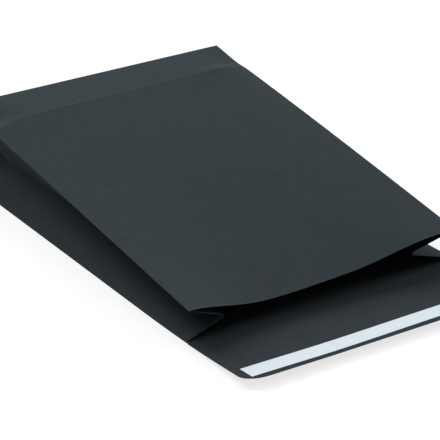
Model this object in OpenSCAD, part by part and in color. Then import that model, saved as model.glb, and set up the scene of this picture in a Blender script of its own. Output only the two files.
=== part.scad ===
// Expanding paper envelope, lying on its flap side with the flap folded out.
// The mouth faces -Y, the closed square base faces +Y, and the lower panel lies on z = 0.
// The origin is on that plane, midway between the flap's free edge and the base.

/* [Pocket] */
// Width of the envelope across its mouth
pocket_w = 250; // [190:5:330]
// Length of the pocket from its mouth to its base
pocket_l = 330; // [260:5:450]
// Full width of each side gusset, which is the height of the base
gusset_w = 68; // [44:1:90]
// Thickness of the paper
paper_t = 0.25; // [0.15:0.05:0.4]
// Width of the glued lap of the lengthwise seam, inside the upper panel
seam_lap = 15; // [8:1:25]

/* [Mouth] */
// Height of the mouth at its two corners
mouth_h = 28; // [20:1:38]
// How far the upper panel sags at the mouth
mouth_sag = 11.8; // [0:0.2:14]
// Place of the lowest point of the sag, as a share of the mouth from the left
sag_place = 0.4; // [0.35:0.01:0.65]
// Length over which the sag dies away towards the base
sag_l = 240; // [80:5:250]
// How much deeper the right gusset is tucked in at the mouth than the left one
right_tuck = 7; // [0:0.5:8]
// Length over which that extra tuck dies away
tuck_l = 110; // [40:5:250]

/* [Base] */
// Place of the pressed crease across the upper panel, in half gussets from the base
crease_place = 1.07; // [1.02:0.01:1.12]
// How far the upper panel bulges up at that crease
crown_h = 2.5; // [0:0.1:4]
// Width over which the bulge rolls down to each side edge
edge_roll = 30; // [15:1:60]
// Place of the dents in the side edges, in half gussets from the base
dent_place = 0.82; // [0.74:0.01:0.88]
// Length of the steep side of the dents, towards the crease
dent_step = 14; // [8:1:20]
// Depth of the dent in the left edge
dent_left = 4.5; // [0:0.1:6]
// Depth of the dent in the right edge
dent_right = 1; // [0:0.1:6]
// Reach of the left dent across the panel
dent_left_l = 42; // [20:1:80]
// Reach of the right dent across the panel
dent_right_l = 45; // [20:1:80]
// How far the left edge of the upper panel bows up between mouth and base, down if negative
bow_left = -0.8; // [-2:0.1:2]
// How far the right edge bows up
bow_right = 1; // [-2:0.1:2]
// Overlap of the two glued flaps that close the base
base_lap = 20; // [10:1:30]

/* [Flap] */
// Length of the flap in front of the mouth
flap_l = 76; // [50:1:90]
// Height to which the flap's free edge curls up
flap_lift = 5.5; // [0:0.5:10]
// How far inside the mouth the lower panel starts to curl up
lift_from = 60; // [20:5:120]
// Width of the flap's rounded corner, along its free edge
corner_w = 25; // [8:1:30]
// Length of the flap's rounded corner, along its side
corner_l = 13; // [6:1:18]

/* [Seal] */
// Width of the release liner
liner_w = 15.4; // [12:0.2:22]
// Thickness of the release liner
liner_t = 0.1; // [0.05:0.05:0.2]
// Distance from the liner to the flap's free edge
liner_front = 4.7; // [4.4:0.1:12]
// Distance from the ends of the liner to the flap's outline
liner_gap = 2.6; // [1:0.1:8]
// Thickness of the glue band
glue_t = 0.12; // [0.05:0.01:0.3]
// How far the glue stays inside the liner all round
glue_inset = 1.5; // [0.5:0.1:3]

/* [Hidden] */
half_w = pocket_w / 2;
half_gusset = gusset_w / 2;
// The pocket's own length coordinate v is 0 at the mouth and grows towards the base.
mouth_y = (flap_l - pocket_l) / 2;
// The base is closed by an inner layer of the sheet and by flaps folded over it.
base_layers = 2;
shell_l = pocket_l - base_layers * paper_t;
inner_l = shell_l - paper_t;
// The diagonal creases of the gussets start half a gusset from the base.
crease_v = pocket_l - half_gusset;
// The pressed crease of the upper panel and the deepest place of the dents.
ridge_v = pocket_l - crease_place * half_gusset;
dent_v = pocket_l - dent_place * half_gusset;
// Smallest step between a fold and the next point of a section.
fold_step = 1;
// Half height and depth of the soft round at the gusset's inner fold.
tip_half = 1.1;
tip_round = 0.45;
// Slope of the upper panel, which sets its mouth edge back a little.
panel_slope = asin((gusset_w - mouth_h) / pocket_l);
// The bulge grows towards the crease as a power of the distance.
crown_power = 2.5;
// A part of each dent grows slowly, as a power of the distance, and the rest in the steep step.
dent_slow = 0.55;
dent_power = 7;
// The dents fade across the panel as this power of the distance.
dent_fade = 1.5;
// The sag is a bell across the mouth, and fades as a power of the distance.
sag_power = 1.8;
sag_fade = 1.6;
// Width of the step at the seam lap's cut edge.
lap_edge = 0.3;
// Divisions across the lower panel and across the upper panel.
floor_n = 6;
roof_n = 20;
// Rows of points along the pocket, closer at the mouth and at the base.
near_rows = 12;
crease_rows = [1.9, 1.55, 1.3, 1.17, crease_place, 1, 0.91, dent_place, 0.7, 0.55, 0.4, 0.2, 0.08];
flap_rows = 6;
glue_rows = 5;

// Shared forms
function mix(a, b, s) = a + (b - a) * s;
function part_y(v) = v + mouth_y;
// Height of the lower panel and the flap above the table.
function floor_z(v) = v >= lift_from ? 0 : flap_lift * pow((lift_from - v) / (lift_from + flap_l), 2);
// Half width of the flap, with its rounded corners.
function corner_reach(v) = max(0, corner_l - flap_l - v) / corner_l;
function flap_half(v) = half_w - corner_w * (1 - sqrt(max(0, 1 - pow(corner_reach(v), 2))));
// Sag of the upper panel across the mouth, 0 at both edges.
sag_warp = ln(0.5) / ln(sag_place);
function sag(x) = mouth_sag * pow(max(0, sin(180 * pow((x + half_w) / pocket_w, sag_warp))), sag_power);
// Bulge of the upper panel, 0 at its side edges and highest at the pressed crease.
function crown_across(x) = 1 - pow(1 - min(1, (half_w - abs(x)) / edge_roll), 2);
function crown_along(v) = v < ridge_v ? pow(max(0, v) / ridge_v, crown_power)
    : max(0, pocket_l - v) / (pocket_l - ridge_v);
function crown(x, v) = crown_h * crown_across(x) * crown_along(v);
// Dents in the side edges, just beyond the crease.
function ease(a, b, v) = let (s = min(1, max(0, (v - a) / (b - a)))) s * s * (3 - 2 * s);
function dent_across(gap, depth, reach) = depth * pow(max(0, 1 - gap / reach), dent_fade);
function dent_along(v) = v < dent_v
    ? dent_slow * pow(max(0, v) / dent_v, dent_power) + (1 - dent_slow) * ease(dent_v - dent_step, dent_v, v)
    : 1 - ease(dent_v, pocket_l, v);
function dent(x, v) = dent_along(v) * (dent_across(x + half_w, dent_left, dent_left_l)
    + dent_across(half_w - x, dent_right, dent_right_l));
function bow(x, v) = mix(bow_left, bow_right, (x + half_w) / pocket_w) * sin(180 * v / pocket_l);
// Height of the upper panel.
function roof_z(x, v) = mix(mouth_h, gusset_w, v / pocket_l)
    - sag(x) * pow(max(0, 1 - v / sag_l), sag_fade) + bow(x, v) + crown(x, v) - dent(x, v);

// Gusset at one edge, side = -1 on the left and 1 on the right.
function wall_h(side, v) = roof_z(side * half_w, v) - floor_z(v);
function tuck(side, v) = side < 0 ? 0 : right_tuck * pow(max(0, 1 - v / tuck_l), 2);
// Both halves keep their width, so the fold goes deeper as the wall gets lower.
function fold_in(side, v) = v < crease_v
    ? sqrt(max(0, pow(half_gusset, 2) - pow(wall_h(side, v) / 2, 2))) + tuck(side, v)
    : fold_in(side, crease_v - 0.001) * max(0, pocket_l - v) / half_gusset;
// Near the base a flat triangle opens between the two diagonal creases.
function flat_half(side, v) = min(wall_h(side, v) / 2 - fold_step,
    max(tip_half, (v - crease_v) * wall_h(side, v) / gusset_w));
function tip_in(v) = v < crease_v ? tip_round : 0;

// Outer section: lower panel, right gusset, upper panel, left gusset, as [x, z] pairs.
function gusset_point(side, v, up) =
    [side * (half_w - fold_in(side, v) - (up == 0 ? tip_in(v) : 0)),
     floor_z(v) + wall_h(side, v) / 2 + up * flat_half(side, v)];
// A point one paper thickness up the gusset, where the flap's cut edge meets it.
function edge_point(side, v) = let (low = [side * half_w, floor_z(v)], high = gusset_point(side, v, -1))
    mix(low, high, paper_t / (high.y - low.y));
roof_x = concat([half_w, half_w - seam_lap / 2, half_w - seam_lap],
    [for (i = [0:roof_n]) mix(half_w - seam_lap - lap_edge, -half_w, i / roof_n)]);
function outer_section(v) = concat(
    [for (i = [0:floor_n]) [mix(-half_w, half_w, i / floor_n), floor_z(v)]],
    [edge_point(1, v)], [for (up = [-1:1]) gusset_point(1, v, up)],
    [for (x = roof_x) [x, roof_z(x, v)]],
    [for (up = [1:-1:-1]) gusset_point(-1, v, up)], [edge_point(-1, v)]);

// Places in that list.
ring_n = floor_n + 1 + 4 + len(roof_x) + 4;
right_edge = floor_n + 1;
roof_start = right_edge + 4;
lap_end = roof_start + 2;
left_edge = ring_n - 1;

// Thickness before and after each point: two layers where the seam lap is glued.
function layers_before(j) = j > roof_start && j <= lap_end ? 2 : 1;
function layers_after(j) = j >= roof_start && j <= lap_end ? 2 : 1;
function normal(a, b) = let (d = b - a) [-d.y, d.x] / norm(d);
function inset_point(a, p, b, t1, t2) = let (n1 = normal(a, p), n2 = normal(p, b), turn = cross(n1, n2))
    abs(turn) < 0.02 ? p + n1 * (t1 + t2) / 2
    : p + [t1 * n2.y - t2 * n1.y, t2 * n1.x - t1 * n2.x] / turn;
function inset_at(s, j) = inset_point(s[(j + ring_n - 1) % ring_n], s[j], s[(j + 1) % ring_n],
    layers_before(j) * paper_t, layers_after(j) * paper_t);
// Beside each lower corner the inner section has its own point, just past the fold.
function inner_section(s) = [for (j = [0:ring_n - 1])
    j == right_edge ? mix(inset_at(s, j - 1), inset_at(s, j + 1), 0.06)
    : j == left_edge ? mix(inset_at(s, 0), inset_at(s, j - 1), 0.06)
    : inset_at(s, j)];

// The upper panel leans, so a point is set back with its height in the wall.
function set_back(v, z) = max(0, inner_l - v) * (1 - cos(panel_slope)) * (z - floor_z(v)) / gusset_w;
function place(section, v) = [for (p = section) [p.x, part_y(v) + set_back(v, p.y), p.y]];

shell_v = concat([for (i = [0:near_rows - 1]) (crease_v - half_gusset) * pow(i / near_rows, 1.15)],
    [for (k = crease_rows) pocket_l - k * half_gusset], [shell_l]);
inner_v = [for (v = shell_v) min(v, inner_l)];

// Rows of the flap, from the mouth to its free edge, by the distance u from that edge.
liner_back = liner_front + liner_w;
glue_u = [for (i = [0:glue_rows]) mix(liner_back - glue_inset, liner_front + glue_inset, i / glue_rows)];
seal_u = concat([liner_back], glue_u, [liner_front]);
flap_u = concat([for (i = [1:flap_rows - 1]) mix(flap_l, liner_back, i / flap_rows)], seal_u,
    [for (a = [50:8:90]) corner_l * (1 - sin(a))]);
flap_v = [for (u = flap_u) u - flap_l];

// Mesh of the sheet: outer rings, inner rings, then the flap's lower and upper rows.
shell_n = len(shell_v);
flap_n = len(flap_v);
row_n = floor_n + 1;
inner_0 = shell_n * ring_n;
under_0 = 2 * inner_0;
over_0 = under_0 + flap_n * row_n;
outer_mid = over_0 + flap_n * row_n;
inner_mid = outer_mid + 1;
function flap_row(v, lift) = [for (i = [0:floor_n])
    [mix(-flap_half(v), flap_half(v), i / floor_n), part_y(v), floor_z(v) + lift]];
function flat(lists) = [for (list = lists) each list];
sheet_points = concat(
    flat([for (v = shell_v) place(outer_section(v), v)]),
    flat([for (v = inner_v) place(inner_section(outer_section(v)), v)]),
    flat([for (v = flap_v) flap_row(v, 0)]),
    flat([for (v = flap_v) flap_row(v, paper_t)]),
    [for (v = [shell_l, inner_l]) [0, part_y(v), half_gusset]]);

// Two triangles, for corners that run anticlockwise seen from outside.
function quad(a, b, c, d) = [[a, c, b], [a, d, c]];
function next(j) = (j + 1) % ring_n;
function outer_at(k, j) = k * ring_n + j;
function inner_at(k, j) = inner_0 + k * ring_n + j;
// Row 0 of the flap is the mouth edge of the lower panel.
function under_at(k, i) = k == 0 ? outer_at(0, i) : under_0 + (k - 1) * row_n + i;
function over_at(k, i) = k == 0 ? inner_at(0, i) : over_0 + (k - 1) * row_n + i;
function side_top(k, i, edge) = k == 0 ? outer_at(0, edge) : over_at(k, i);
wall_faces = flat([for (k = [0:shell_n - 2], j = [0:ring_n - 1]) concat(
    quad(outer_at(k, j), outer_at(k + 1, j), outer_at(k + 1, next(j)), outer_at(k, next(j))),
    quad(inner_at(k, j), inner_at(k, next(j)), inner_at(k + 1, next(j)), inner_at(k + 1, j)))]);
base_faces = flat([for (j = [0:ring_n - 1]) [
    [outer_at(shell_n - 1, j), outer_at(shell_n - 1, next(j)), outer_mid],
    [inner_at(shell_n - 1, next(j)), inner_at(shell_n - 1, j), inner_mid]]]);
rim_faces = flat([for (j = [right_edge:left_edge - 1])
    quad(outer_at(0, j), outer_at(0, j + 1), inner_at(0, j + 1), inner_at(0, j))]);
notch_faces = [
    [outer_at(0, right_edge), inner_at(0, floor_n), inner_at(0, right_edge)],
    [outer_at(0, left_edge), inner_at(0, left_edge), inner_at(0, 0)],
    [outer_at(0, right_edge), over_at(1, floor_n), inner_at(0, floor_n)],
    [outer_at(0, left_edge), inner_at(0, 0), over_at(1, 0)]];
flap_faces = flat([for (k = [0:flap_n - 1], i = [0:floor_n - 1]) concat(
    quad(under_at(k, i), under_at(k, i + 1), under_at(k + 1, i + 1), under_at(k + 1, i)),
    quad(over_at(k, i), over_at(k + 1, i), over_at(k + 1, i + 1), over_at(k, i + 1)))]);
flap_sides = flat([for (k = [0:flap_n - 1]) concat(
    quad(under_at(k, floor_n), side_top(k, floor_n, right_edge), over_at(k + 1, floor_n), under_at(k + 1, floor_n)),
    quad(under_at(k, 0), under_at(k + 1, 0), over_at(k + 1, 0), side_top(k, 0, left_edge)))]);
flap_front = flat([for (i = [0:floor_n - 1])
    quad(under_at(flap_n, i), under_at(flap_n, i + 1), over_at(flap_n, i + 1), over_at(flap_n, i))]);

// Pocket and flap, one paper thickness all over.
module folded_shell() {
    polyhedron(sheet_points, concat(wall_faces, base_faces, rim_faces, notch_faces,
        flap_faces, flap_sides, flap_front), convexity = 12);
}

// A layer on the base, as an outline in the base's own width and height.
module base_layer(outline, level) {
    translate([0, part_y(shell_l) + level * paper_t, 0]) rotate([90, 0, 0])
        translate([0, 0, -paper_t]) linear_extrude(paper_t * 1.5) polygon(outline);
}

// A base flap narrows at 45 degrees from its fold to its free edge.
function base_flap(fold_z, free_z, from_z) = let (a = half_w - abs(from_z - fold_z) - base_edge,
    b = half_w - abs(free_z - fold_z) - base_edge) [[-a, from_z], [a, from_z], [b, free_z], [-b, free_z]];
base_edge = 0.4;
lap_low = half_gusset - base_lap / 2;
lap_high = half_gusset + base_lap / 2;

// The flaps that close the base: the one from the upper panel, then the one from the lower panel.
module base_flaps() {
    base_layer(base_flap(gusset_w, lap_low, gusset_w - base_edge), 0);
    base_layer(base_flap(0, lap_low, base_edge), 0);
    base_layer(base_flap(0, lap_high, lap_low), 1);
}

// A thin band that follows the flap, with rows at the distances u from its free edge.
module band(rows, half, lift, thick) {
    n = len(rows);
    points = flat([for (u = rows) let (v = u - flap_l, z = floor_z(v) + paper_t + lift)
        [for (side = [-1, 1], up = [0, thick]) [side * half, part_y(v), z + up]]]);
    faces = concat(flat([for (k = [0:n - 2], e = [[1, 0], [3, 1], [2, 3], [0, 2]])
        quad(4 * k + e[0], 4 * k + e[1], 4 * k + 4 + e[1], 4 * k + 4 + e[0])]),
        quad(0, 1, 3, 2), quad(4 * n - 4, 4 * n - 2, 4 * n - 1, 4 * n - 3));
    polyhedron(points, faces);
}

liner_half = flap_half(liner_front - flap_l) - liner_gap;

module paper_sheet() {
    color("#373F43") union() {
        folded_shell();
        base_flaps();
    }
}

module seal_glue() {
    color("#E9E6DA") band(glue_u, liner_half - glue_inset, 0, glue_t);
}

module release_liner() {
    color("#DAE3EB") band(seal_u, liner_half, glue_t, liner_t);
}

paper_sheet();
seal_glue();
release_liner();
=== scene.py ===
"""Expanding paper envelope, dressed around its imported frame.

The envelope is one die-cut sheet of charcoal paper.  A flat blank is made with a grid, cut to
its outline and folded like the frame's sheet, with finer forms where the paper is creased.
"""

import math

import bmesh
import bpy
from bpy.props import FloatProperty, FloatVectorProperty, PointerProperty
from mathutils import Matrix, Vector


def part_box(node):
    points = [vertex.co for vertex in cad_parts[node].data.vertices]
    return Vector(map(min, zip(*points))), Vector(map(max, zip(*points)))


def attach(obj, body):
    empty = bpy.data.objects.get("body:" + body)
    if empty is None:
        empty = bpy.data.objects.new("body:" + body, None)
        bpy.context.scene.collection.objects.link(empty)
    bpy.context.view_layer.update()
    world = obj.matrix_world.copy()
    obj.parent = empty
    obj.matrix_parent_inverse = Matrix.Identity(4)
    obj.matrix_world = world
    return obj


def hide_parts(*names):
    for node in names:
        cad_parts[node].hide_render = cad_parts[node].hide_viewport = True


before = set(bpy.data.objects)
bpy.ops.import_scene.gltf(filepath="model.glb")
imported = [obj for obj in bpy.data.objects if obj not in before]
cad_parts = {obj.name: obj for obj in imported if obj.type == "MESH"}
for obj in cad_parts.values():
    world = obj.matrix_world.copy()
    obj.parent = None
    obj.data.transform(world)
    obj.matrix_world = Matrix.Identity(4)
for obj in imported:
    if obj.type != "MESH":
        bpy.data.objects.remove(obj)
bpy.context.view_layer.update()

bl_info = {
    "name": "Expanding Paper Envelope",
    "version": (1, 0, 0),
    "blender": (4, 5, 0),
    "location": "3D View > Sidebar > Envelope",
    "description": "Folded charcoal envelope with gussets, a block bottom and a peel-off seal",
    "category": "Add Mesh",
}

MM = 0.001
TINY = 1e-6              # metres, less than any real distance between two places
LOW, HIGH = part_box("paper_sheet")
BODY = "root"


# Sizes and colours

def length(name, text, default, low=0.0, high=1.0):
    """A property in metres."""
    return FloatProperty(name=name, description=text, default=default, min=low, max=high,
                         precision=5, unit="LENGTH", subtype="DISTANCE")


def share(name, text, default, low=0.0, high=1.0):
    """A property without a unit."""
    return FloatProperty(name=name, description=text, default=default, min=low, max=high,
                         precision=3)


def angle(name, text, degrees):
    """A property that is an angle."""
    return FloatProperty(name=name, description=text, default=math.radians(degrees),
                         subtype="ANGLE", unit="ROTATION")


def colour(name, text, default):
    """A colour property."""
    return FloatVectorProperty(name=name, description=text, default=default, size=3, min=0.0,
                               max=1.0, subtype="COLOR")


class PocketSizes(bpy.types.PropertyGroup):
    """Sizes of the folded pocket."""
    width: length("Width", "Width across the mouth", HIGH.x - LOW.x)
    gusset: length("Gusset", "Full width of each side gusset, the height of the base", 68 * MM)
    paper: length("Paper", "Thickness of the paper", 0.25 * MM)
    seam_lap: length("Seam lap", "Width of the glued lap inside the upper panel", 15 * MM)
    mouth_height: length("Mouth height", "Height of the mouth at its corners", 28 * MM)
    mouth_sag: length("Mouth sag", "How far the upper panel sags at the mouth", 11.8 * MM)
    sag_place: share("Sag place", "Lowest point of the sag, as a share of the width", 0.40)
    sag_length: length("Sag length", "Length over which the sag dies away", 240 * MM)
    right_tuck: length("Right tuck", "Extra depth of the right gusset at the mouth", 7 * MM)
    tuck_length: length("Tuck length", "Length over which that tuck dies away", 110 * MM)
    lip_wave: length("Lip wave", "How far the panel's lip waves up and down at the mouth", 0.8 * MM)
    lip_period: length("Lip period", "Distance between two crests of that wave", 110 * MM)
    lip_low: length("Lip low", "Place of one of its lowest points, from the middle",
                    -69 * MM, -0.2)
    lip_fade: length("Lip fade", "Length over which the wave dies away", 90 * MM)
    lip_forward: length("Lip forward", "How far the panel's left corner reaches forward",
                        1.3 * MM)
    lip_forward_width: length("Lip forward width", "Width over which that dies away", 45 * MM)
    lip_forward_length: length("Lip forward length", "Length over which that dies away", 60 * MM)
    cut_back: length("Cut back", "How far the left gusset's cut starts behind the flap", 2.4 * MM)
    cut_back_length: length("Cut back length", "Length over which that dies away", 14 * MM)
    right_cut: length("Right cut", "How far the right gusset's inner fold starts behind the mouth",
                      3.7 * MM)
    right_cut_length: length("Right cut length", "Length over which that dies away", 24 * MM)
    right_lift: length("Right lift", "How far the lower panel's right edge lifts at the mouth",
                       2.3 * MM)
    right_lift_from: length("Right lift from", "Where that lift starts, right of the middle",
                            60 * MM)
    right_lift_length: length("Right lift length", "Length over which it dies away", 150 * MM)
    fold_round: length("Fold round", "Reach of the round at a folded edge", 0.7 * MM)
    tip_half: length("Fold half height", "Half height of the gusset's soft inner fold", 1.1 * MM)
    tip_depth: length("Fold depth", "Depth of that soft fold", 0.45 * MM)


class BaseSizes(bpy.types.PropertyGroup):
    """Sizes of the crease and of the closed base."""
    crease_place: share("Crease place",
                        "Place of the pressed crease, in half gussets from the base",
                        1.26, 1.0, 2.0)
    crown: length("Crown", "How far the upper panel bulges at the crease", 2.8 * MM)
    crown_power: share("Crown power", "How suddenly that bulge rises towards the crease",
                       3.5, 1.0, 8.0)
    bead: length("Bead", "Height of the crease's crisp bead", 0.14 * MM)
    bead_width: length("Bead width", "Half width of that bead", 0.9 * MM)
    bead_middle: length("Bead middle", "Place where the bead is crispest, from the middle",
                        -45 * MM, -0.2)
    bead_reach: length("Bead reach", "Distance over which it softens across the panel", 40 * MM)
    bead_least: share("Bead least", "Share of its height that is left far from there", 0.08)
    knuckle: length("Knuckle", "How far the crease stands up near its right end", 1.1 * MM)
    knuckle_middle: length("Knuckle middle", "Place where it stands up most, from the middle",
                           100 * MM, -0.2)
    knuckle_reach: length("Knuckle reach", "Distance over which that dies away across the panel",
                          22 * MM)
    knuckle_rise: length("Knuckle rise", "Length over which the panel rises to the knuckle",
                         24 * MM)
    knuckle_fall: length("Knuckle fall", "Length over which it falls behind the knuckle", 13 * MM)
    edge_roll: length("Edge roll", "Width over which the panel rolls down to its sides", 30 * MM)
    dent_place: share("Dent place",
                      "Place of the dents in the side edges, in half gussets from the base", 0.96)
    dent_step: length("Dent step", "Width of the steep side of the dents", 16 * MM)
    dent_early: share("Dent early", "Share of their depth that comes before that steep side", 0.39)
    dent_left: length("Left dent", "Depth of the dent at the left edge", 6.4 * MM)
    dent_right: length("Right dent", "Depth of the dent at the right edge", 1.4 * MM)
    dent_left_length: length("Left dent length", "Reach of the left dent", 42 * MM)
    dent_right_length: length("Right dent length", "Reach of the right dent", 45 * MM)
    bow_left: length("Left bow", "How far the left edge bows", -0.2 * MM, -0.01)
    bow_right: length("Right bow", "How far the right edge bows", 1.0 * MM, -0.01)
    lap: length("Base lap", "Overlap of the two flaps that close the base", 20 * MM)


class FlapSizes(bpy.types.PropertyGroup):
    """Sizes of the open flap, its liner and its glue."""
    reach: length("Flap", "Length of the flap in front of the mouth", 76 * MM)
    lift: length("Lift", "Height of the flap's curled free edge", 5.5 * MM)
    lift_from: length("Lift from", "How far inside the mouth the curl starts", 60 * MM)
    corner_width: length("Corner width", "Width of the rounded corner", 18.7 * MM)
    corner_length: length("Corner length", "Length of the rounded corner", 11.8 * MM)
    corner_curl: length("Corner curl", "How much more the left corner curls up", 0.85 * MM)
    curl_from: length("Curl from", "Where that curl starts, left of the middle", 46 * MM)
    score_place: length("Score place", "Distance of the flap's score from the mouth", 2.8 * MM)
    score_depth: length("Score depth", "Depth of the flap's score", 0.12 * MM)
    liner_width: length("Liner width", "Width of the release liner", 15.1 * MM)
    liner_front: length("Liner front", "Distance from the liner to the free edge", 5.0 * MM)
    liner_wave: length("Liner wave", "How far the liner wanders to and from the free edge",
                       0.45 * MM)
    liner_period: length("Liner period", "Distance between two crests of that wave", 190 * MM)
    liner_low: length("Liner low", "Place where it comes closest to the edge, from the middle",
                      -35 * MM, -0.2)
    liner_gap: length("Liner gap", "Distance from the liner's ends to the outline", 4.1 * MM)
    liner_thickness: length("Liner thickness", "Thickness of the release liner", 0.1 * MM)
    glue_thickness: length("Glue thickness", "Thickness of the glue band", 0.12 * MM)
    glue_inset: length("Glue inset", "Distance from the glue band to the liner's outline",
                       1.5 * MM)


class FinishColours(bpy.types.PropertyGroup):
    """Colours of the envelope's finishes."""
    charcoal: colour("Charcoal", "Colour of the paper", (0.0387, 0.0499, 0.0562))
    inside: colour("Inside", "Colour of the paper on its inner side", (0.0291, 0.0360, 0.0408))
    # Lighter colour for the folds, the score and the cut edges: wear, and painted sheen where the
    # folds catch the light.
    worn_and_sheen: colour("Worn", "Colour of the paper where a fold has rubbed it", (0.060, 0.072, 0.078))
    cut_edge: colour("Cut edge", "Colour of the paper's cut edge", (0.070, 0.070, 0.074))
    liner: colour("Liner", "Colour of the release liner", (0.694, 0.783, 0.831))
    glue: colour("Glue", "Colour of the glue", (0.80, 0.78, 0.70))


class StageSettings(bpy.types.PropertyGroup):
    """Floor, lights and camera."""
    floor_size: length("Floor", "Half width of the floor", 12.0, 0.1, 50.0)
    floor_white: share("Floor white", "Share of the light that the floor gives back", 0.3)
    floor_glow: share("Floor glow", "White that the camera sees beside the floor's own light", 0.76)
    sky: share("Sky", "Strength of the even light from all sides", 0.02, 0.0, 4.0)
    back: share("Back", "Radiance of the soft light behind the envelope", 7.7, 0.0, 20.0)
    low_right: share("Low right", "Radiance of the low light on the right", 9.6, 0.0, 20.0)
    low_left: share("Low left", "Radiance of the low light on the left", 0.8, 0.0, 20.0)
    left: share("Left", "Radiance of the soft light high on the left", 1.6, 0.0, 20.0)
    azimuth: angle("Azimuth", "Direction in which the camera looks", 35.247)
    elevation: angle("Elevation", "Height of the camera over the horizon", 26.169)
    roll: angle("Roll", "Turn of the camera about its own line of sight", -1.560)
    focal_pixels: share("Focal length", "Focal length in pixels of the square frame",
                        2301.71, 1.0, 1e5)
    camera_place: FloatVectorProperty(name="Camera place", description="Where the camera stands",
                                      default=(-0.946173, -1.326031, 0.815590), size=3,
                                      unit="LENGTH", subtype="TRANSLATION")


# Shape of the folded sheet

def mix(a, b, s):
    """From a to b as s goes from 0 to 1."""
    return a + (b - a) * s


def smooth(a, b, x):
    """From 0 to 1 as x goes from a to b, level at both ends."""
    s = min(1.0, max(0.0, (x - a) / (b - a)))
    return s * s * (3 - 2 * s)


def fade(distance, reach, power=2):
    """From 1 at no distance to 0 at the reach, in a straight line or softer."""
    return min(1.0, max(0.0, 1 - distance / reach)) ** power


def bell(x, middle, reach):
    """1 at the middle, dying away on both sides."""
    return math.exp(-((x - middle) / reach) ** 2)


# Powers of the sheet's forms. With 1 a form is straight, with more it keeps to its high end.
CURL_ACROSS, CURL_ALONG = 1.15, 1.2
LIFT_ACROSS = 1.5
SAG_ACROSS, SAG_ALONG = 1.8, 1.6
LIP_ENDS = 8
DENT_ACROSS, DENT_ALONG = 1.5, 7

TIP_CLEAR = 1.0 * MM         # height that the soft inner fold leaves free above and below it
TIP_END = 4 * MM             # length over which that fold loses its depth before the base
LAYERS = 3                   # sheets of paper in the base: two flaps and an end triangle


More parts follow.
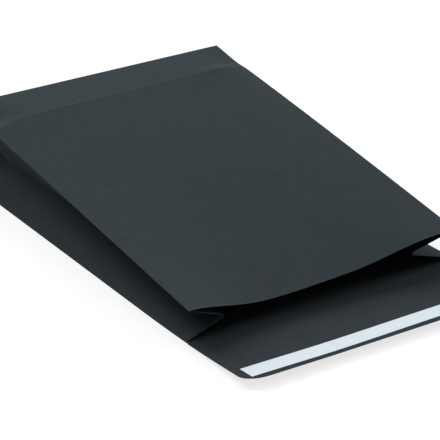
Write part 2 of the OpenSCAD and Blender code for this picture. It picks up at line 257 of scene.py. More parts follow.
class PocketForm:
    """Heights and widths of the folded sheet, by x across and v from the mouth to the base."""

    def __init__(self, scene):
        self.p, self.b, self.f = scene.envelope_pocket, scene.envelope_base, scene.envelope_flap
        self.half = self.p.width / 2
        self.pocket = (HIGH.y - LOW.y) - self.f.reach
        self.mouth_y = LOW.y + self.f.reach
        self.half_gusset = self.p.gusset / 2
        self.crease_at = self.pocket - self.half_gusset
        self.ridge_at = self.pocket - self.b.crease_place * self.half_gusset
        self.dent_at = self.pocket - self.b.dent_place * self.half_gusset
        self.base_flap = self.half_gusset + self.b.lap / 2
        # The upper panel slopes down to the mouth, so it reaches less far forward than the lower.
        slope = math.asin((self.p.gusset - self.p.mouth_height) / self.pocket)
        self.lean = (1 - math.cos(slope)) / self.p.gusset

    def floor(self, v):
        """Height of the lower panel and the flap in their middle."""
        f = self.f
        if v >= f.lift_from:
            return 0.0
        return f.lift * ((f.lift_from - v) / (f.lift_from + f.reach)) ** 2

    def curl(self, x, v):
        """The flap's left corner and the right edge at the mouth curl up more than the rest."""
        f, p = self.f, self.p
        if x < 0:
            across = max(0.0, -x - f.curl_from) / (self.half - f.curl_from)
            return f.corner_curl * across ** CURL_ACROSS * max(0.0, -v / f.reach) ** CURL_ALONG
        across = max(0.0, x - p.right_lift_from) / (self.half - p.right_lift_from)
        return p.right_lift * across ** LIFT_ACROSS * fade(v, p.right_lift_length)

    def bottom(self, x, v):
        """Height of the lower panel and the flap."""
        return self.floor(v) + self.curl(x, v)

    def wander(self, x):
        """How far the liner lies behind its straight line."""
        f = self.f
        return -f.liner_wave * math.cos(2 * math.pi * (x - f.liner_low) / f.liner_period)

    def flap_half(self, v):
        """Half width of the flap, less at its rounded corners."""
        f = self.f
        reach = min(1.0, max(0.0, f.corner_length - f.reach - v) / f.corner_length)
        return self.half - f.corner_width * (1 - math.sqrt(1 - reach * reach))

    def sag(self, x):
        """How far the upper panel hangs down at the mouth."""
        p = self.p
        across = min(1.0, max(0.0, (x + self.half) / p.width))
        to_middle = math.log(0.5) / math.log(p.sag_place)       # turns sag_place into a half
        hang = math.sin(math.pi * across ** to_middle)
        return p.mouth_sag * max(0.0, hang) ** SAG_ACROSS

    def lip(self, x, v):
        """A slight wave of the panel's lip, flat at its corners."""
        p = self.p
        wave = math.cos(2 * math.pi * (x - p.lip_low) / p.lip_period)
        wave *= 1 - min(1.0, abs(x) / self.half) ** LIP_ENDS
        return p.lip_wave * wave * fade(v, p.lip_fade)

    def crown(self, x, v):
        """The panel bulges between its side edges, most at the pressed crease."""
        b, past = self.b, v - self.ridge_at
        inside = min(1.0, (self.half - abs(x)) / b.edge_roll)
        bead = b.bead * mix(b.bead_least, 1.0, bell(x, b.bead_middle, b.bead_reach))
        bead *= fade(abs(past), b.bead_width, 1)
        knuckle = b.knuckle * bell(x, b.knuckle_middle, b.knuckle_reach)
        if past < 0:
            along = (max(0.0, v) / self.ridge_at) ** b.crown_power
            knuckle *= fade(-past, b.knuckle_rise)
        else:
            along = max(0.0, self.pocket - v) / (self.pocket - self.ridge_at)
            knuckle *= 1 - smooth(0.0, b.knuckle_fall, past)
        return (b.crown * along + bead + knuckle) * (1 - (1 - inside) ** 2)

    def dent(self, x, v):
        """The panel's side edges are dented beyond the crease."""
        b, deepest = self.b, self.dent_at
        left = fade(x + self.half, b.dent_left_length, DENT_ACROSS)
        right = fade(self.half - x, b.dent_right_length, DENT_ACROSS)
        if v < deepest:
            early = (max(0.0, v) / deepest) ** DENT_ALONG
            along = mix(smooth(deepest - b.dent_step, deepest, v), early, b.dent_early)
        else:
            along = 1 - smooth(deepest, self.pocket, v)
        return (b.dent_left * left + b.dent_right * right) * along

    def roof(self, x, v):
        """Height of the upper panel's outer side."""
        p, b = self.p, self.b
        level = mix(p.mouth_height, p.gusset, v / self.pocket)
        bow = mix(b.bow_left, b.bow_right, (x + self.half) / p.width)
        bow *= math.sin(math.pi * min(1.0, v / self.pocket))
        return (level - self.sag(x) * fade(v, p.sag_length, SAG_ALONG) - self.lip(x, v) + bow
                + self.crown(x, v) - self.dent(x, v))

    def wall(self, side, v):
        """Height of the side from edge to edge."""
        return self.roof(side * self.half, v) - self.bottom(side * self.half, v)

    def fold_in(self, side, v):
        """How deep the gusset's inner fold lies inside the edges, running out at the base."""
        if v >= self.crease_at:
            start = self.fold_in(side, self.crease_at - TINY)
            return start * max(0.0, self.pocket - v) / self.half_gusset
        tuck = 0.0 if side < 0 else self.p.right_tuck * fade(v, self.p.tuck_length)
        half_wall = self.wall(side, v) / 2
        return math.sqrt(max(0.0, self.half_gusset ** 2 - half_wall ** 2)) + tuck

    def flat_half(self, side, v):
        """Half height of the inner fold, which opens into a triangle beside the base."""
        wall = self.wall(side, v)
        opened = (v - self.crease_at) * wall / self.p.gusset
        return min(wall / 2 - TIP_CLEAR, max(self.p.tip_half, opened))

    def gusset(self, side, v, up):
        """A point of the gusset's soft inner fold, up running from -1 to 1."""
        tip = self.p.tip_depth * (1 - up * up) * (1 - smooth(-TIP_END, 0.0, v - self.crease_at))
        middle = self.bottom(side * self.half, v) + self.wall(side, v) / 2
        return Vector((side * (self.half - self.fold_in(side, v) - tip),
                       middle + up * self.flat_half(side, v)))

    def place(self, point, v, back=0.0):
        """The place in the room of an (x, z) point of the section at v."""
        lean = max(0.0, self.pocket - LAYERS * self.p.paper - v) * self.lean
        return Vector((point.x, self.mouth_y + v - back + lean * (point.y - self.floor(v)),
                       point.y))


# The flat blank

ROUND_STEPS, TIP_STEPS = 6, 8
LAP_STEPS, GUSSET_STEPS, LOWER_STEPS, UPPER_STEPS = 4, 8, 50, 80
# Place of the extra columns beside a panel's ends, as a share of the panel.
LAP_NEAR, GUSSET_NEAR, PANEL_NEAR = 0.04, 0.02, 0.004
GUSSET_PARTS = ("right_upper", "right_tip", "right_lower", "left_lower", "left_tip", "left_upper")
# A round turns from the panel named first to the panel named last.
ROUNDS = {"right_top": ("lap", "right_upper"), "right_bottom": ("right_lower", "lower"),
          "left_bottom": ("lower", "left_lower"), "left_top": ("left_upper", "upper")}
# Half of each lower round stays on the flap.
FLAP_ROUNDS = {"right_bottom": (0.5, 1.0), "left_bottom": (0.0, 0.5)}

CORNER_DEGREES = range(90, 0, -8)       # rows round the flap's corners
SCORE_ROWS = (-1.2, -0.8, -0.5, -0.25, 0, 0.25, 0.5, 0.8, 1.2)              # millimetres
FOLD_ROWS = (-1.7, -1.2, -1, -0.66, -0.33, 0, 0.33, 0.66, 1, 1.2, 1.7)      # fold rounds
FOLD_REACH = 3                          # fold rounds on each side of the base fold
LAST_FLAP_ROW = -0.8 * MM               # the last row before the mouth
FLAP_ROW, PANEL_ROW, CREASE_ROW = 2.4 * MM, 2.5 * MM, 1.5 * MM
CREASE_REACH = 12 * MM                  # length in front of the crease with closer rows


def steps_between(a, b, step):
    """Even steps from a to b, both included, of about the given size."""
    count = max(1, round((b - a) / step))
    return [mix(a, b, i / count) for i in range(count + 1)]


def panel(name, steps, near, start=0.0, end=1.0):
    """Columns of one panel, with one more just inside each of its two ends."""
    inner = [i / steps for i in range(steps + 1)]
    return [(name, mix(start, end, s)) for s in sorted(inner + [near, 1 - near])]


def blank_columns():
    """Columns across the blank as (part, place), from the seam lap round to the upper panel."""
    turn = {name: [(name, i / ROUND_STEPS) for i in range(ROUND_STEPS + 1)] for name in ROUNDS}
    tip = {name: [(name, mix(start, -start, i / TIP_STEPS)) for i in range(TIP_STEPS + 1)]
           for name, start in (("right_tip", 1.0), ("left_tip", -1.0))}
    gusset = {name: tip.get(name) or panel(name, GUSSET_STEPS, GUSSET_NEAR)
              for name in GUSSET_PARTS}
    return (panel("lap", LAP_STEPS, LAP_NEAR) + turn["right_top"]
            + gusset["right_upper"] + gusset["right_tip"] + gusset["right_lower"]
            + turn["right_bottom"] + panel("lower", LOWER_STEPS, PANEL_NEAR, 1.0, -1.0)
            + turn["left_bottom"]
            + gusset["left_lower"] + gusset["left_tip"] + gusset["left_upper"]
            + turn["left_top"] + panel("upper", UPPER_STEPS, PANEL_NEAR, -1.0, 1.0))


def blank_rows(form):
    """Rows along the blank, from the flap's free edge to the ends of the base flaps."""
    f, turn, bead = form.f, form.p.fold_round, form.b.bead_width
    corner = [-f.reach + f.corner_length * (1 - math.sin(math.radians(a))) for a in CORNER_DEGREES]
    score = [-f.score_place + s * MM for s in SCORE_ROWS]
    crease, end = form.ridge_at, form.pocket
    return (corner + steps_between(corner[-1], score[0], FLAP_ROW)[1:-1] + score
            + [LAST_FLAP_ROW]
            + steps_between(0.0, crease - CREASE_REACH, PANEL_ROW)
            + steps_between(crease - CREASE_REACH, crease - bead, CREASE_ROW)[1:]
            + steps_between(crease - bead, crease + bead, bead / 2)[1:]
            + steps_between(crease + bead, end - FOLD_REACH * turn, CREASE_ROW)[1:]
            + [end + turn * s for s in FOLD_ROWS]
            + steps_between(end + FOLD_REACH * turn, end + form.base_flap, FLAP_ROW))


def is_waste(form, places, v):
    """Whether a cell of the grid lies outside the outline, by its columns and its middle row."""
    names = {name for name, s in places}
    if len(names) > 1:       # a cell between two parts has no width
        return True
    name, middle = names.pop(), sum(s for n, s in places) / len(places)
    if v < 0:
        low, high = FLAP_ROUNDS.get(name, (0, 0))
        return name != "lower" and not low < middle < high
    if name == "lap":
        return v > form.pocket - FOLD_REACH * form.p.fold_round
    return v > form.pocket and (name in ROUNDS or v > form.pocket + form.base_flap)


# Folding

GAP = 0.01 * MM              # air between two layers of the sheet
LAYERS_FROM = 12 * MM        # length over which the panels draw back to make room for the base
LAP_SLOPE = 3 * MM           # length over which the outer base flap climbs onto the inner one
TUCK_IN = 0.012              # share by which the end triangles shrink to their middle height
SCORE_HALF = 0.7 * MM        # half width of the flap's score
OPEN_OUT = 1.5 * MM          # length over which the rounds open out into the flap


class FoldedSheet:
    """Folds a place of the blank into the room."""

    # The two corners beside each round, in the order of the columns.
    BESIDE = {"right_top": ("lap", "right_up"), "right_bottom": ("right_down", "left_bottom"),
              "left_bottom": ("right_bottom", "left_down"), "left_top": ("left_up", "upper")}
    # The corners between which each half of a gusset lies.
    GUSSET_ENDS = {"right_upper": ("right_top", "right_up"),
                   "right_lower": ("right_down", "right_bottom"),
                   "left_lower": ("left_bottom", "left_down"),
                   "left_upper": ("left_up", "left_top")}

    def __init__(self, form):
        self.form = form
        self.kept = {}

    def corners(self, v):
        """The outer section at v as named corners, each an (x, z) pair."""
        if v not in self.kept:
            form, half, under = self.form, self.form.half, self.form.p.paper + GAP
            inside = half - form.p.seam_lap
            self.kept[v] = {
                "lap": Vector((inside, form.roof(inside, v) - under)),
                "right_top": Vector((half, form.roof(half, v) - under)),
                "right_up": form.gusset(1, v, 1), "right_down": form.gusset(1, v, -1),
                "right_bottom": Vector((half, form.bottom(half, v))),
                "left_bottom": Vector((-half, form.bottom(-half, v))),
                "left_down": form.gusset(-1, v, -1), "left_up": form.gusset(-1, v, 1),
                "left_top": Vector((-half, form.roof(-half, v))),
                "upper": Vector((-inside, form.roof(-inside, v))),
            }
        return self.kept[v]

    def section(self, name, s, v):
        """(x, z) of a column in the section at v."""
        form, turn, corners = self.form, self.form.p.fold_round, self.corners(v)
        if name in ROUNDS:
            corner = corners[name]
            a, b = (corner + (corners[other] - corner).normalized() * turn
                    for other in self.BESIDE[name])
            return a * (1 - s) ** 2 + corner * 2 * s * (1 - s) + b * s * s
        if name in self.GUSSET_ENDS:
            first, last = self.GUSSET_ENDS[name]
            a, b = corners[first], corners[last]
            reach = turn / (b - a).length
            low = reach if first in ROUNDS else 0.0
            high = 1 - reach if last in ROUNDS else 1.0
            return a.lerp(b, mix(low, high, s))
        if name.endswith("tip"):
            return form.gusset(1 if name.startswith("right") else -1, v, s)
        if name == "lower":
            x = s * (form.half - turn)
            return Vector((x, form.bottom(x, v)))
        if name == "lap":
            x = mix(form.half - form.p.seam_lap, form.half - turn, s)
            return Vector((x, form.roof(x, v) - form.p.paper - GAP))
        x = mix(turn - form.half, form.half, (s + 1) / 2)
        return Vector((x, form.roof(x, v)))

    def slant(self, name, s, v):
        """How far the cut edge at the mouth lies behind a straight cut.

        The upper panel's left corner reaches forward.  The left gusset starts further back
        beside the flap, and so does the right gusset at its inner fold.
        """
        p = self.form.p
        forward = {"left_top": 1.0, "left_upper": s}.get(name, 0.0)
        if name == "upper":
            forward = fade((s + 1) / 2 * p.width, p.lip_forward_width)
        back = {"left_bottom": max(0.0, 2 * s - 1), "left_lower": 1 - s}.get(name, 0.0)
        fold = {"right_upper": s, "right_tip": 1.0, "right_lower": 1 - s}.get(name, 0.0)
        return (p.cut_back * back * fade(v, p.cut_back_length)
                + p.right_cut * fold * fade(v, p.right_cut_length)
                - p.lip_forward * forward * fade(v, p.lip_forward_length))

    def base_turn(self, w):
        """How far a place w beyond the base fold lies past it, and how far it has turned up."""
        turn = self.form.p.fold_round
        if abs(w) >= turn:
            return min(w, 0.0), max(w, 0.0)
        s = (w + turn) / (2 * turn)
        return -turn * (1 - s) ** 2, turn * s * s

    def place(self, name, s, v):
        """Where a place of the blank lies once the sheet is folded."""
        form, p, turn = self.form, self.form.p, self.form.p.fold_round
        if v < 0:
            return self.flap_place(name, s, v)
        w = v - form.pocket
        # 1 on the panels that carry the base flaps, 0 on the gussets, which lie a sheet deeper.
        to_panel = {"lower": 1.0, "upper": 1.0, "right_bottom": s, "left_bottom": 1 - s,
                    "left_top": s}.get(name, 0.0)
        level = p.paper * (2 - to_panel)
        if w <= -turn:
            back = level * smooth(-LAYERS_FROM, -turn, w)
            return form.place(self.section(name, s, v), v, back - self.slant(name, s, v))
        past, rise = self.base_turn(w)
        x, z = self.section(name, s, form.pocket - turn)
        side = 1 if x > 0 else -1
        up = -1 if name in ("upper", "left_top", "right_top") else 1
        z += up * rise * to_panel
        if name == "lower":
            x *= (form.half - turn - rise) / (form.half - turn)
            lap_at = form.half_gusset - form.b.lap / 2
            past += smooth(lap_at - LAP_SLOPE, lap_at, rise) * (p.paper + GAP)
        elif name == "upper":
            x *= (form.half - rise) / form.half
        else:
            x -= side * rise * (1 - to_panel)
        if w > 0 and name in GUSSET_PARTS:
            z = mix(z, form.half_gusset, TUCK_IN * smooth(0.0, turn, w))
        return Vector((x, form.mouth_y + form.pocket + past - level, z))

    def flap_place(self, name, s, v):
        """The flap lies flat across, and the rounds beside the mouth open out into it."""
        form, turn = self.form, self.form.p.fold_round
        across = s * (form.half - turn)
        if name in ROUNDS:
            out = 2 * s if name == "left_bottom" else 2 * (1 - s)
            across = (form.half - turn + turn * out) * (-1 if name == "left_bottom" else 1)
        groove = fade(abs(v + form.f.score_place), SCORE_HALF, 1)
        x = across * form.flap_half(v) / form.half
        flat = Vector((x, form.bottom(x, v) - form.f.score_depth * groove))
        folded = self.section(name, s, 0.0)
        folded.y += form.floor(v) - form.floor(0.0)
        return form.place(flat.lerp(folded, smooth(-OPEN_OUT, 0.0, v)), v)


# Widths of the lightening along the folds, the score and the cut edges, which paints sheen as well
# as wear.
WEAR_SHEEN_WIDTH, WEAR_SHEEN_SCORE_WIDTH = 1.2 * MM, 1.0 * MM
WEAR_SHEEN_TIP, WEAR_SHEEN_SCORE = 0.6, 0.8        # how much lighter the inner folds and the score are drawn, for wear and painted sheen


def fold_wear_and_sheen(form, name, s, v):
    """How much lighter a fold or a cut edge is drawn at a place of the blank, from 0 to 1: wear,
    and painted sheen where the folds catch the light.
    """
    wear_and_sheen = 1 - abs(2 * s - 1) if name in ROUNDS else 0.0
    if name.endswith("tip"):
        wear_and_sheen = WEAR_SHEEN_TIP * (1 - abs(s))
    # The lower panel goes on into the flap, so it is cut only at the end of its base flap.
    cut = form.pocket + form.base_flap if name == "lower" else 0.0
    near = min(abs(v - form.pocket), abs(v - cut))
    near_score = abs(v + form.f.score_place)
    return max(wear_and_sheen, 1 - near / WEAR_SHEEN_WIDTH, WEAR_SHEEN_SCORE - near_score / WEAR_SHEEN_SCORE_WIDTH, 0.0)


MEASURED_AT = 0.4        # where the columns' distances are measured, as a share of the pocket


def fold_blank(form):
    """Makes the blank as a grid, cuts it to its outline and folds it."""
    folded, columns, rows = FoldedSheet(form), blank_columns(), blank_rows(form)
    nx, ny = len(columns) - 1, len(rows) - 1
    bm = bmesh.new()
    wear_and_sheen, blank_map = bm.verts.layers.float.new("wear_and_sheen"), bm.loops.layers.uv.new("blank")
    bmesh.ops.create_grid(bm, x_segments=nx, y_segments=ny, size=1.0)
    at = {vert: (round((vert.co.x + 1) / 2 * nx), round((vert.co.y + 1) / 2 * ny))
          for vert in bm.verts}
    waste = [face for face in bm.faces
             if is_waste(form, [columns[at[v][0]] for v in face.verts],
                         sum(rows[at[v][1]] for v in face.verts) / len(face.verts))]
    bmesh.ops.delete(bm, geom=waste, context="FACES")
    measured = [folded.place(*column, MEASURED_AT * form.pocket) for column in columns]
    across = [0.0]
    for before, after in zip(measured, measured[1:]):
        across.append(across[-1] + (before - after).length)
    for vert in bm.verts:
        i, k = at[vert]
        vert.co = folded.place(*columns[i], rows[k])
        # Each vertex gets the lightening of its folds and cut edges: wear, and painted sheen.
        vert[wear_and_sheen] = fold_wear_and_sheen(form, *columns[i], rows[k])
    for face in bm.faces:
        face.smooth = True
        for loop in face.loops:
            i, k = at[loop.vert]
            loop[blank_map].uv = (across[i], rows[k])
    bmesh.ops.remove_doubles(bm, verts=bm.verts, dist=TINY)
    lowest = min(bm.faces, key=lambda face: face.calc_center_median().z)
    if lowest.normal.z > 0:
        bmesh.ops.reverse_faces(bm, faces=bm.faces)
    return bm


BAND_COLUMNS, LINER_ROWS, GLUE_ROWS = 90, 14, 10


def band(form, inset, lift, rows):
    """A thin grid that follows the flap under or over the liner, inset from its outline."""
    f = form.f
    half = form.flap_half(f.liner_front - f.reach) - f.liner_gap - inset
    front = f.liner_front + inset - f.reach
    back = f.liner_front + f.liner_width - inset - f.reach
    bm = bmesh.new()
    bmesh.ops.create_grid(bm, x_segments=BAND_COLUMNS, y_segments=rows, size=1.0)
    for vert in bm.verts:
        x = vert.co.x * half
        v = mix(front, back, (vert.co.y + 1) / 2) + form.wander(x)
        vert.co = (x, form.mouth_y + v, form.bottom(x, v) + form.p.paper + lift)
    for face in bm.faces:
        face.smooth = True
    return bm


SHARP_ANGLE = math.radians(40)


def piece(name, bm, thickness, outward, materials):
    """Gives a sheet its thickness on the side away from its normals, or towards them.

    The materials are one for all sides, or one each for the outer side, the inner side and
    the cut edge.
    """
    mesh = bpy.data.meshes.new(name)
    bm.to_mesh(mesh)
    bm.free()
    made = bpy.data.objects.new(name, mesh)
    bpy.context.scene.collection.objects.link(made)
    for material in materials:
        mesh.materials.append(material)
    wall = made.modifiers.new("Thickness", "SOLIDIFY")
    wall.thickness, wall.offset = thickness, 1.0 if outward else -1.0
    wall.use_even_offset = True
    wall.material_offset, wall.material_offset_rim = len(materials) // 2, len(materials) - 1
    bpy.context.view_layer.update()
    thick = made.evaluated_get(bpy.context.evaluated_depsgraph_get())
    solid = bpy.data.meshes.new_from_object(thick)
    made.modifiers.clear()
    made.data = solid
    solid.name = name
    solid.set_sharp_from_angle(angle=SHARP_ANGLE)
    bpy.data.meshes.remove(mesh)
    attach(made, BODY)
    return made


# Finishes

class Wire:
    """A socket in an expression. Its operators add Math nodes."""

    def __init__(self, finish, socket):
        self.finish, self.socket = finish, socket

    def maths(self, operation, a, b):
        """Adds a Math node."""
        return self.finish.node("ShaderNodeMath", {"operation": operation}, {0: a, 1: b})

    def __add__(self, other):
        return self.maths("ADD", self, other)

    def __sub__(self, other):
        return self.maths("SUBTRACT", self, other)

    def __rsub__(self, other):
        return self.maths("SUBTRACT", other, self)

    def __mul__(self, other):
        return self.maths("MULTIPLY", self, other)

    __radd__, __rmul__ = __add__, __mul__


MIX_SHARE, MIX_A, MIX_B, MIX_RESULT = 0, 6, 7, 2     # the colour sockets of a Mix node


class Finish:
    """The nodes of one material, or of the world."""

    def __init__(self, owner):
        owner.use_nodes = True
        self.owner, self.tree, self.place = owner, owner.node_tree, None
        self.tree.nodes.clear()

    def node(self, kind, settings=None, sockets=None, out=0):
        """Adds a node, its settings first and then the values or links of its sockets."""
        made = self.tree.nodes.new(kind)
        for key, value in (settings or {}).items():
            setattr(made, key, value)
        for key, value in (sockets or {}).items():
            if isinstance(value, Wire):
                self.tree.links.new(value.socket, made.inputs[key])
            else:
                made.inputs[key].default_value = value
        return Wire(self, made.outputs[out] if made.outputs else None)

    def noise(self, scale, detail=2.0, rough=0.5, vector=None):
        """Noise between about -0.5 and 0.5, in the object's own space if no vector is given."""
        if vector is None:
            self.place = self.place or self.node("ShaderNodeTexCoord", out="Object")
            vector = self.place
        grain = self.node("ShaderNodeTexNoise", None, {
            "Vector": vector, "Scale": scale, "Detail": detail, "Roughness": rough})
        return grain - 0.5

    def blend(self, share_of_b, a, b):
        """Mixes two colours."""
        return self.node("ShaderNodeMix", {"data_type": "RGBA", "clamp_factor": True}, {
            MIX_SHARE: share_of_b, MIX_A: a, MIX_B: b}, MIX_RESULT)

    def shaded(self, tint, amount):
        """A colour made lighter or darker by a factor."""
        grey = self.node("ShaderNodeCombineColor", None, {0: amount, 1: amount, 2: amount})
        return self.node("ShaderNodeMix", {"data_type": "RGBA", "blend_type": "MULTIPLY"}, {
            MIX_SHARE: 1.0, MIX_A: tint, MIX_B: grey}, MIX_RESULT)

    def bump(self, strength, distance, height):
        """A normal that follows a height, the distance in metres."""
        return self.node("ShaderNodeBump", None, {
            "Strength": strength, "Distance": distance, "Height": height})

    def surface(self, sockets):
        """Ends the material with one Principled BSDF."""
        body = self.node("ShaderNodeBsdfPrincipled", None, sockets)
        self.node("ShaderNodeOutputMaterial", None, {"Surface": body})
        return self.owner


def opaque(tint):
    """A colour property with its alpha."""
    return (*tint, 1.0)


# Noises as (scale per metre, detail, roughness).
CLOUD, MOTTLE, GRAIN = (34.0, 3.0, 0.6), (150.0, 4.0, 0.75), (950.0, 3.0, 0.6)
# The two layers of fibres are scaled across and along the blank, and the second is turned.
FIBRES, FIBRES_ALONG, FIBRES_OVER = (1.0, 2.0, 0.55), (420.0, 2600.0, 1.0), (2300.0, 380.0, 1.0)
FIBRES_TURN = 0.9
# How strongly each noise tints the paper, and how much of the lighter worn colour a fold takes on,
# which paints sheen as well as wear.
CLOUD_TINT, MOTTLE_TINT, GRAIN_TINT, FIBRE_TINT, WEAR_AND_SHEEN_SHARE = 0.24, 0.4, 0.22, 0.12, 0.30
PAPER_ROUGH, ROUGH_CHANGE, PAPER_SHINE = 0.9, 0.08, 0.05
PAPER_BUMP = (0.22, 0.06 * MM)          # strength and height


def paper_grain(finish):
    """Cloudy, mottled, grainy and fibrous variation of the paper."""
    blank = finish.node("ShaderNodeUVMap", {"uv_map": "blank"})
    along = finish.node("ShaderNodeMapping", None, {"Vector": blank, "Scale": FIBRES_ALONG})
    over = finish.node("ShaderNodeMapping", None, {
        "Vector": blank, "Rotation": (0.0, 0.0, FIBRES_TURN), "Scale": FIBRES_OVER})
    fibres = finish.noise(*FIBRES, along) + finish.noise(*FIBRES, over)
    return finish.noise(*CLOUD), finish.noise(*MOTTLE), finish.noise(*GRAIN), fibres


def charcoal_paper(name, colour_of_side, colours):
    """Matte charcoal paper, lighter along its folds, for wear and painted sheen."""
    finish = Finish(bpy.data.materials.new(name))
    cloud, mottle, grain, fibres = paper_grain(finish)
    # Painted sheen with wear: the folds, the score and the cut edges are drawn in a lighter colour.
    wear_and_sheen = finish.node("ShaderNodeAttribute", {"attribute_name": "wear_and_sheen"}, out="Fac")
    worn_and_sheen = finish.blend(wear_and_sheen * (WEAR_AND_SHEEN_SHARE + grain), opaque(colour_of_side), opaque(colours.worn_and_sheen))
    tint = finish.shaded(worn_and_sheen, 1.0 + cloud * CLOUD_TINT + mottle * MOTTLE_TINT
                         + grain * GRAIN_TINT + fibres * FIBRE_TINT)
    rough = PAPER_ROUGH + cloud * ROUGH_CHANGE + grain * ROUGH_CHANGE
    return finish.surface({"Base Color": tint, "Roughness": rough,
                           "Normal": finish.bump(*PAPER_BUMP, grain * 0.6 + fibres * 0.5),
                           "Specular IOR Level": PAPER_SHINE})


CUT_SCALE, CUT_TINT, CUT_ROUGH, CUT_SHINE = 2600.0, 0.5, 0.95, 0.15


def cut_paper(colours):
    """The cut edge of the paper, where its fibres show."""
    finish = Finish(bpy.data.materials.new("cut_edge"))
    fibres = finish.noise(CUT_SCALE)
    tint = finish.shaded(opaque(colours.cut_edge), 1.0 + fibres * CUT_TINT)
    return finish.surface({"Base Color": tint, "Roughness": CUT_ROUGH,
                           "Specular IOR Level": CUT_SHINE})


LINER_CLOUD, LINER_GRAIN, LINER_BUMP = 60.0, 1300.0, (0.08, 0.04 * MM)
LINER_CLOUD_TINT, LINER_GRAIN_TINT, LINER_ROUGH, LINER_SHINE = 0.05, 0.03, 0.6, 0.15


def liner_paper(colours):
    """Smooth coated release paper."""
    finish = Finish(bpy.data.materials.new("release_paper"))
    cloud, grain = finish.noise(LINER_CLOUD), finish.noise(LINER_GRAIN)
    tint = finish.shaded(opaque(colours.liner),
                         1.0 + cloud * LINER_CLOUD_TINT + grain * LINER_GRAIN_TINT)
    return finish.surface({"Base Color": tint, "Roughness": LINER_ROUGH + cloud * 0.1,
                           "Normal": finish.bump(*LINER_BUMP, cloud + grain * 0.4),
                           "Specular IOR Level": LINER_SHINE})


GLUE_SCALE, GLUE_TINT, GLUE_ROUGH, GLUE_SHINE = 420.0, 0.08, 0.38, 0.5
GLUE_BUMP = (0.3, 0.05 * MM)


def glue_finish(colours):
    """Soft, slightly glossy hot-melt glue."""
    finish = Finish(bpy.data.materials.new("seal_glue"))
    ripple = finish.noise(GLUE_SCALE)
    tint = finish.shaded(opaque(colours.glue), 1.0 + ripple * GLUE_TINT)
    return finish.surface({"Base Color": tint, "Roughness": GLUE_ROUGH + ripple * 0.1,
                           "Normal": finish.bump(*GLUE_BUMP, ripple),
                           "Specular IOR Level": GLUE_SHINE})


# Operators

class ENVELOPE_OT_fold_sheet(bpy.types.Operator):
    """Cut the charcoal blank and fold it into the envelope"""
    bl_idname = "envelope.fold_sheet"
    bl_label = "Fold Paper Sheet"

    def execute(self, context):
        form, colours = PocketForm(context.scene), context.scene.envelope_colours
        sheet = piece("folded_sheet", fold_blank(form), form.p.paper, False,
                      [charcoal_paper("charcoal_paper", colours.charcoal, colours),
                       charcoal_paper("charcoal_inside", colours.inside, colours),
                       cut_paper(colours)])
        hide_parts("paper_sheet")
        return {"FINISHED"}


class ENVELOPE_OT_lay_liner(bpy.types.Operator):
    """Lay the release liner over the glue on the flap"""
    bl_idname = "envelope.lay_liner"
    bl_label = "Lay Release Liner"

    def execute(self, context):
        form = PocketForm(context.scene)
        strip = band(form, 0.0, form.f.glue_thickness, LINER_ROWS)
        liner = piece("liner_strip", strip, form.f.liner_thickness, True,
                      [liner_paper(context.scene.envelope_colours)])
        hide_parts("release_liner")
        return {"FINISHED"}


class ENVELOPE_OT_spread_glue(bpy.types.Operator):
    """Spread the glue band on the flap, under the liner"""
    bl_idname = "envelope.spread_glue"
    bl_label = "Spread Seal Glue"

    def execute(self, context):
        form = PocketForm(context.scene)
        strip = band(form, form.f.glue_inset, 0.0, GLUE_ROWS)
        glue = piece("glue_band", strip, form.f.glue_thickness, True,
                     [glue_finish(context.scene.envelope_colours)])
        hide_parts("seal_glue")
        return {"FINISHED"}


class ENVELOPE_OT_set_stage(bpy.types.Operator):
    """Set the pale floor, the soft light and the camera"""
    bl_idname = "envelope.set_stage"
    bl_label = "Set Stage"

    def execute(self, context):
        stage = context.scene.envelope_stage
        make_floor(stage)
        make_sky(context.scene, stage)
        make_lights(stage)
        make_camera(context.scene, stage)
        context.scene.view_settings.view_transform = "Standard"
        return {"FINISHED"}


# The stage

FLOOR_DROP = 0.05 * MM       # air between the floor and the paper


def seen_directly(finish):
    """1 where the camera, or a mirror or glass, looks at the surface."""
    camera, mirror, glass = (finish.node("ShaderNodeLightPath", None, None, name) for name in (
        "Is Camera Ray", "Is Glossy Ray", "Is Transmission Ray"))
    return camera.maths("MAXIMUM", camera, mirror.maths("MAXIMUM", mirror, glass))


def make_floor(stage):
    """A large pale floor that keeps the object's shadow."""
    bm = bmesh.new()
    bmesh.ops.create_grid(bm, x_segments=1, y_segments=1, size=stage.floor_size)
    bmesh.ops.translate(bm, verts=bm.verts, vec=(0.0, 0.0, LOW.z - FLOOR_DROP))
    mesh = bpy.data.meshes.new("floor")
    bm.to_mesh(mesh)
    bm.free()
    floor = bpy.data.objects.new("floor", mesh)
    bpy.context.scene.collection.objects.link(floor)
    finish = Finish(bpy.data.materials.new("floor_white"))
    white, glow = stage.floor_white, seen_directly(finish) * stage.floor_glow
    matte = finish.node("ShaderNodeBsdfDiffuse", None, {"Color": (white, white, white, 1.0)})
    shine = finish.node("ShaderNodeEmission", None, {"Strength": glow})
    both = finish.node("ShaderNodeAddShader", None, {0: matte, 1: shine})
    finish.node("ShaderNodeOutputMaterial", None, {"Surface": both})
    mesh.materials.append(finish.owner)


def make_sky(scene, stage):
    """Even light from all sides, seen as white."""
    scene.world = bpy.data.worlds.new("soft_sky")
    finish = Finish(scene.world)
    strength = seen_directly(finish) * (1.0 - stage.sky) + stage.sky
    sky = finish.node("ShaderNodeBackground", None, {
        "Color": (1.0, 1.0, 1.0, 1.0), "Strength": strength})
    finish.node("ShaderNodeOutputWorld", None, {"Surface": sky})


# Azimuth from +Y towards +X and elevation in degrees, and the side of the square lamp in metres.
LAMPS = {"back": (0, 36, 4.2), "low_right": (90, 14, 2.7), "low_left": (-90, 14, 2.7),
         "left": (-90, 60, 4.2)}
LAMP_REACH, LAMP_AIM = 6.0, Vector((0.0, 0.0, 0.03))


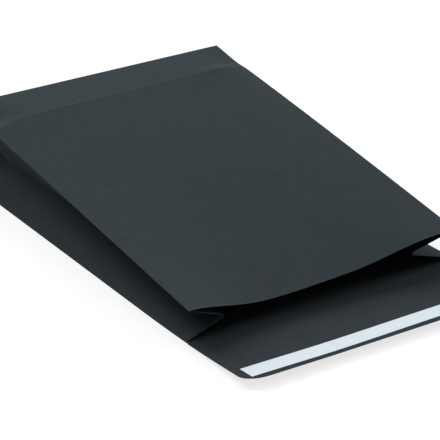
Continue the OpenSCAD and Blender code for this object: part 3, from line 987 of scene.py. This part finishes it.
def make_lights(stage):
    """Broad soft square lamps around the envelope, all aimed at it."""
    for name, (azimuth, elevation, size) in LAMPS.items():
        az, el = math.radians(azimuth), math.radians(elevation)
        towards = Vector((math.cos(el) * math.sin(az), math.cos(el) * math.cos(az), math.sin(el)))
        light = bpy.data.lights.new(name, "AREA")
        light.shape, light.size = "SQUARE", size
        light.energy = getattr(stage, name) * math.pi * size ** 2
        lamp = bpy.data.objects.new(name, light)
        lamp.location = LAMP_REACH * towards
        lamp.rotation_euler = (LAMP_AIM - lamp.location).to_track_quat("-Z", "Y").to_euler()
        bpy.context.scene.collection.objects.link(lamp)


PHOTO_PIXELS = 440           # side of the square frame
SENSOR = 36.0                # width of the camera's sensor in millimetres
CLIP_START, CLIP_END = 0.05, 60.0


def make_camera(scene, stage):
    """The camera where the photographer stood."""
    az, el, roll = stage.azimuth, stage.elevation, stage.roll
    ahead = Vector((math.sin(az) * math.cos(el), math.cos(az) * math.cos(el), -math.sin(el)))
    right = Vector((math.cos(az), -math.sin(az), 0.0))
    down = ahead.cross(right)
    across = math.cos(roll) * right + math.sin(roll) * down
    along = -math.sin(roll) * right + math.cos(roll) * down
    lens = bpy.data.cameras.new("camera")
    lens.sensor_width = SENSOR
    lens.lens = stage.focal_pixels * SENSOR / PHOTO_PIXELS
    lens.clip_start, lens.clip_end = CLIP_START, CLIP_END
    camera = bpy.data.objects.new("camera", lens)
    camera.matrix_world = (Matrix.Translation(stage.camera_place)
                           @ Matrix((across, -along, -ahead)).transposed().to_4x4())
    scene.collection.objects.link(camera)
    scene.camera = camera


# The add-on

class ENVELOPE_PT_panel(bpy.types.Panel):
    """Sizes, colours and steps of the envelope"""
    bl_idname = "ENVELOPE_PT_panel"
    bl_label = "Expanding Paper Envelope"
    bl_space_type = "VIEW_3D"
    bl_region_type = "UI"
    bl_category = "Envelope"

    def draw(self, context):
        for name in PROPERTY_GROUPS:
            group = getattr(context.scene, name)
            box = self.layout.box()
            box.label(text=group.bl_rna.name)
            for key in group.bl_rna.properties.keys():
                if key not in ("rna_type", "name"):
                    box.prop(group, key)
        for operator in STEPS:
            self.layout.operator(operator.bl_idname)


PROPERTY_GROUPS = {"envelope_pocket": PocketSizes, "envelope_base": BaseSizes,
                   "envelope_flap": FlapSizes, "envelope_colours": FinishColours,
                   "envelope_stage": StageSettings}
STEPS = (ENVELOPE_OT_set_stage, ENVELOPE_OT_fold_sheet, ENVELOPE_OT_spread_glue,
         ENVELOPE_OT_lay_liner)


def register():
    """Adds the settings to the scene, and the operators and the panel."""
    for name, group in PROPERTY_GROUPS.items():
        bpy.utils.register_class(group)
        setattr(bpy.types.Scene, name, PointerProperty(type=group))
    for kind in (*STEPS, ENVELOPE_PT_panel):
        bpy.utils.register_class(kind)


def unregister():
    """Takes away what register added."""
    for kind in (ENVELOPE_PT_panel, *reversed(STEPS)):
        bpy.utils.unregister_class(kind)
    for name, group in PROPERTY_GROUPS.items():
        delattr(bpy.types.Scene, name)
        bpy.utils.unregister_class(group)


def main():
    """Builds the stage and the three pieces."""
    register()
    bpy.ops.envelope.set_stage()
    bpy.ops.envelope.fold_sheet()
    bpy.ops.envelope.spread_glue()
    bpy.ops.envelope.lay_liner()


if __name__ == "__main__":
    main()
